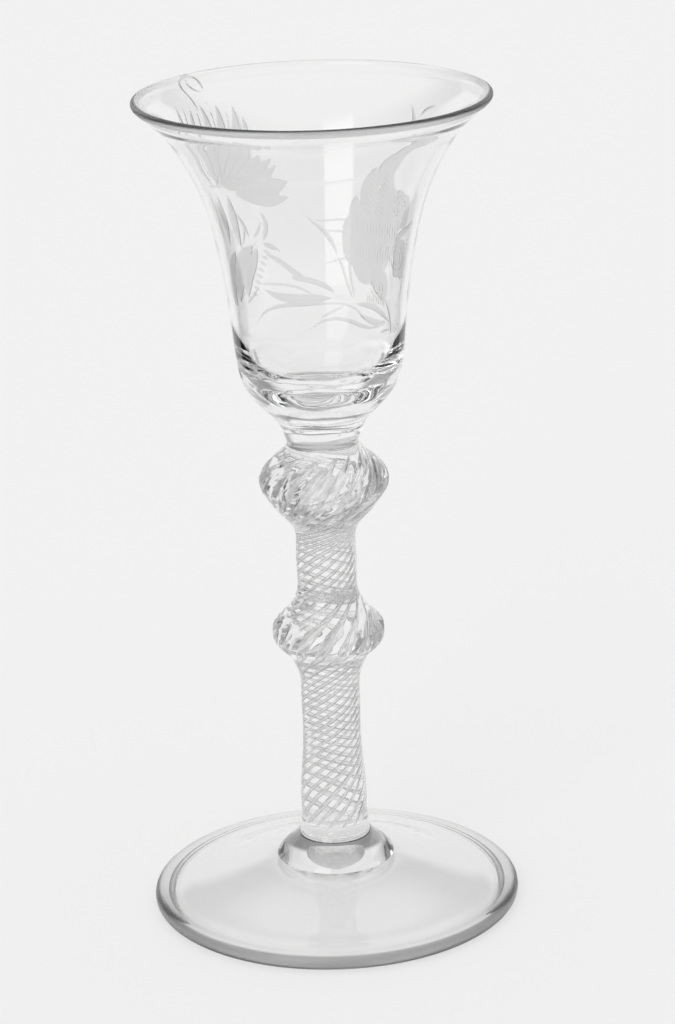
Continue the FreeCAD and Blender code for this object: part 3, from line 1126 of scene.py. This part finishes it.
# Count, half width, both ends of the first stroke, then the step of each end
hatched_rows = [
    # thistle: scales and barbs
    (9, 0.2, (151, 127.5), (142, 129.1), (-1.9, 1.1), (-1.9, 1.1)),
    (9, 0.3, (139, 127.9), (133, 126.6), (-1.9, 1.1), (-1.9, 1.1)),
    # moth: ribs across the wings, then the fringe
    (15, 0.2, (64, 141.2), (63, 137.4), (-2.2, 0), (-2.2, 0)),
    (15, 0.2, (62.8, 136.4), (63.4, 132.2), (-2.2, 0), (-2.2, 0)),
    (8, 0.2, (59.5, 143.5), (55, 142.1), (0, 1.1), (0, 1.1)),
    (8, 0.2, (50, 143.5), (46, 142.1), (0, 1.1), (0, 1.1)),
    (10, 0.2, (22, 131.5), (15, 132), (0, 0.85), (0, 0.85)),
    (10, 0.2, (54, 126.4), (54.5, 123.4), (-1.5, 0), (-1.8, 0)),
]
# Azimuth, height, radius of the inner ring in mm
wing_eyes = [(33.5, 144.6, 1.0), (29.5, 134.8, 1.2), (46.5, 127.6, 0.9)]
outer_ring_share = 1.9
ring_places = 13
ring_tip = 0.01
eye_half_width = 0.22
stamen_half_width = 0.26


def straight(half_width, start, end, opening=0.4, closing=0.6):
    """A short stroke between two places, with a third place halfway."""
    middle = ((start[0] + end[0]) / 2, (start[1] + end[1]) / 2)
    return half_width, opening, closing, [start, middle, end]


def ring(azimuth, height, radius):
    """A closed stroke round a place; the radius is in millimetres."""
    turn_of_mm = math.degrees(MM / skin_radius(height * MM))
    places = [(azimuth + turn_of_mm * radius * math.cos(turn),
               height + radius * math.sin(turn))
              for turn in np.linspace(0, FULL_TURN, ring_places)]
    return eye_half_width, ring_tip, ring_tip, places


def drawn_hatching():
    """Fine strokes that fill the flower, the thistle and the wings."""
    strokes = [straight(stamen_half_width, flower_heart, tip, 0.2, 0.5)
               for tip in stamen_tips]
    for count, half_width, *ends_and_steps in hatched_rows:
        start, end, start_step, end_step = np.array(ends_and_steps)
        for step in range(count):
            strokes.append(straight(half_width, start + start_step * step,
                                    end + end_step * step))
    return strokes + [ring(azimuth, height, radius * share)
                      for azimuth, height, radius in wing_eyes
                      for share in (1, outer_ring_share)]


# %% [markdown]
# The near rim is a bold grey line in the photograph and the far one a hairline. So the
# rim carries painted shade and some dullness, like the foot's edge, and both fade out
# towards the back. The real rim is most likely the same all round: this copies the
# picture.

# %% Bowl glass: clear, frosted where cut; painted shade on the cuts, base, weld and rim front
# Ranges on the edge of a stroke are in mm: below nought is outside it
broad_range = (-0.03, 0.09)
scoop_range = (-0.08, 0.40)
fine_range = (-0.10, 0.16)
broad_bump = 0.07 * MM
fine_bump = 0.05 * MM
broad_frost = 0.45
fine_frost = 0.36
# Painted shade: the cuts are greyer than their frost alone makes them
painted_cut_shade = grey(0.72)
rim_front = (26.0 * MM, 4.0 * MM)
dulled_rim = (34.6 * MM, 34.8 * MM)
rim_frost = 0.42
# Painted shade on the front of the rim, fading out towards the back
shaded_rim_reach = (34.7 * MM, 34.9 * MM)
painted_rim_shade = grey(0.58)
bowl_tint = (0.978, 0.978, 0.976, 1.0)
base_reach = (118.0 * MM, 110.0 * MM)
# Painted shade: the thick base is a little greyer
painted_base_shade = grey(0.95)
seam_reach = (bowl_weld + 1.3 * MM, bowl_weld + 0.8 * MM)
# Painted shade: a dark band along the weld under the bowl
painted_weld_shade = grey(0.38)


def engraved_material():
    material = glass_material("bowl_glass", wave_scale=70.0, wave_depth=0.015 * MM)
    tree, shader = shader_of(material)
    broad_edge = attribute_of(tree, "broad_edge")["Fac"]
    broad = map_range(tree, broad_edge, *broad_range)
    fine = map_range(tree, attribute_of(tree, "fine_edge")["Fac"], *fine_range)
    place, parts = place_on_piece(tree)
    distance = distance_from_axis(tree, place)
    in_front = map_range(tree, parts["Y"], *rim_front)

    def at_rim(reach):
        return product(tree, map_range(tree, distance, *reach), in_front)

    rough = 0.0
    for share, frost in ((broad, broad_frost), (fine, fine_frost),
                         (at_rim(dulled_rim), rim_frost)):
        rough = larger(tree, rough, product(tree, share, frost))
    # The bowl's own tint, then painted shade on the base, the cuts, the weld and the
    # front of the rim
    tint = bowl_tint
    for share, tone in ((map_range(tree, parts["Z"], *base_reach), painted_base_shade),
                        (larger(tree, broad, fine), painted_cut_shade),
                        (map_range(tree, parts["Z"], *seam_reach), painted_weld_shade),
                        (at_rim(shaded_rim_reach), painted_rim_shade)):
        tint = mix_color(tree, share, tint, tone)
    fill(tree, shader, {"Roughness": rough, "Base Color": tint})
    scoop = map_range(tree, broad_edge, *scoop_range)
    bump(tree, shader, scoop, broad_bump, invert=True)
    bump(tree, shader, fine, fine_bump, invert=True)
    return material


bowl_glass = engraved_material()

# %% [markdown]
# The thick base is never even: the maker's tools leave soft dents in it, and a few
# bubbles stay in the glass. Slow noise moves the points of the base by up to about
# 0.15 mm, and each bubble is a small closed ball whose faces look into its air.

# %% Unevenness and bubbles of the base
uneven_top = 119.0 * MM
uneven_depth = 0.16 * MM
uneven_size = Vector((5.5, 5.5, 2.6)) * MM
uneven_fade = 3.2 * MM
uneven_weld_fade = 1.28 * MM
noise_middle = 0.35
# Azimuth in degrees, distance from the axis, height, half width and half height in mm
bubble_places = [(206, 9.6, 108.6, 0.55, 0.30), (250, 5.2, 106.4, 0.50, 0.30),
                 (236, 8.0, 104.6, 0.40, 0.22), (318, 8.4, 106.6, 0.45, 0.25),
                 (300, 6.0, 102.6, 0.25, 0.18), (75, 7.0, 105.6, 0.35, 0.22)]


def unsettle(mesh):
    """Moves the points of the base in and out by slow noise, less towards its ends."""
    for point in mesh.verts:
        radius = point.co.xy.length
        fade = min(1.0, radius / uneven_fade, (uneven_top - point.co.z) / uneven_fade,
                   (point.co.z - bowl_weld) / uneven_weld_fade)
        if fade > 0:
            place = Vector(a / b for a, b in zip(point.co, uneven_size))
            push = uneven_depth * fade * (noise.noise(place) - noise_middle)
            point.co.x *= 1 + push / radius
            point.co.y *= 1 + push / radius


def add_bubbles(mesh):
    for azimuth, distance, height, half_width, half_height in bubble_places:
        turn = math.radians(azimuth)
        across = Vector((math.cos(turn), math.sin(turn), 0))
        middle = (across * distance + UP * height) * MM
        size = Matrix.Diagonal((half_width * MM, half_width * MM, half_height * MM, 1))
        bubble = bmesh.new()
        bmesh.ops.create_icosphere(bubble, subdivisions=3, radius=1,
                                   matrix=Matrix.Translation(middle) @ size)
        bmesh.ops.reverse_faces(bubble, faces=bubble.faces)
        join_into(mesh, bubble)


# %% Bowl
def make_bowl():
    mesh = turned(bowl_skin_outline, bowl_angles())
    fuse_ends(mesh, [bowl_weld])
    unsettle(mesh)
    add_bubbles(mesh)
    broad, fine = engrave(mesh)
    bowl = finish_piece("bell_bowl", mesh, [bowl_glass, fused_joint])
    keep_values(bowl, "broad_edge", "FLOAT", broad / MM)
    keep_values(bowl, "fine_edge", "FLOAT", fine / MM)
    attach(bowl, "root")
    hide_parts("bowl")


make_bowl()

# %% [markdown]
# ## The pontil stub
#
# While the rim was finished, an iron rod held the glass under its foot. Where it was
# broken off, a rough stub stayed. The photograph doesn't show it: its place and size
# are guessed, and it is turned like the rest, then made uneven by noise.

# %% Pontil stub
pontil_roughness = 0.45
pontil_glass = glass_material("pontil_glass", wave_scale=900.0, wave_depth=0.10 * MM)
fill(*shader_of(pontil_glass), {"Roughness": pontil_roughness})
# Shares of the stub's radius and of its drop
pontil_outline = [(0.0, 0.0), (1.0, 0.0), (0.99, 0.25), (0.92, 0.5), (0.78, 0.75),
                  (0.6, 0.95), (0.4, 1.0), (0.2, 0.9), (0.0, 0.86)]
pontil_drop = pontil_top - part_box("pontil_scar")[0].z
pontil_lump = 0.25 * MM
pontil_lump_size = 1.6 * MM
pontil_lift_share = 0.4
pontil_steps = 64


def make_pontil():
    """A broken stub: a round lump whose lower side is uneven."""
    outline = [(pontil_radius * radius, pontil_top - pontil_drop * drop)
               for radius, drop in pontil_outline]
    mesh = turned(outline, even_angles(pontil_steps))
    bmesh.ops.subdivide_edges(mesh, edges=mesh.edges, cuts=1, use_grid_fill=True)
    for point in mesh.verts:
        drop = (pontil_top - point.co.z) / pontil_drop
        lump = pontil_lump * noise.noise(point.co / pontil_lump_size) * min(1.0, 2 * drop)
        point.co += Vector((point.co.x, point.co.y, 0)).normalized() * lump
        lift = pontil_lift_share * min(lump, 0.0)
        point.co.z = max(point.co.z + lift, pontil_top - pontil_drop)
    fuse_ends(mesh, [pontil_top], within=pontil_radius)
    pontil = finish_piece("pontil_stub", mesh, [pontil_glass, fused_joint])
    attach(pontil, "root")
    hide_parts("pontil_scar")


make_pontil()

# %% [markdown]
# ## Last step
#
# The picture keeps its colours plain, with the Standard view transform.

# %% View transform
scene.view_settings.view_transform = "Standard"
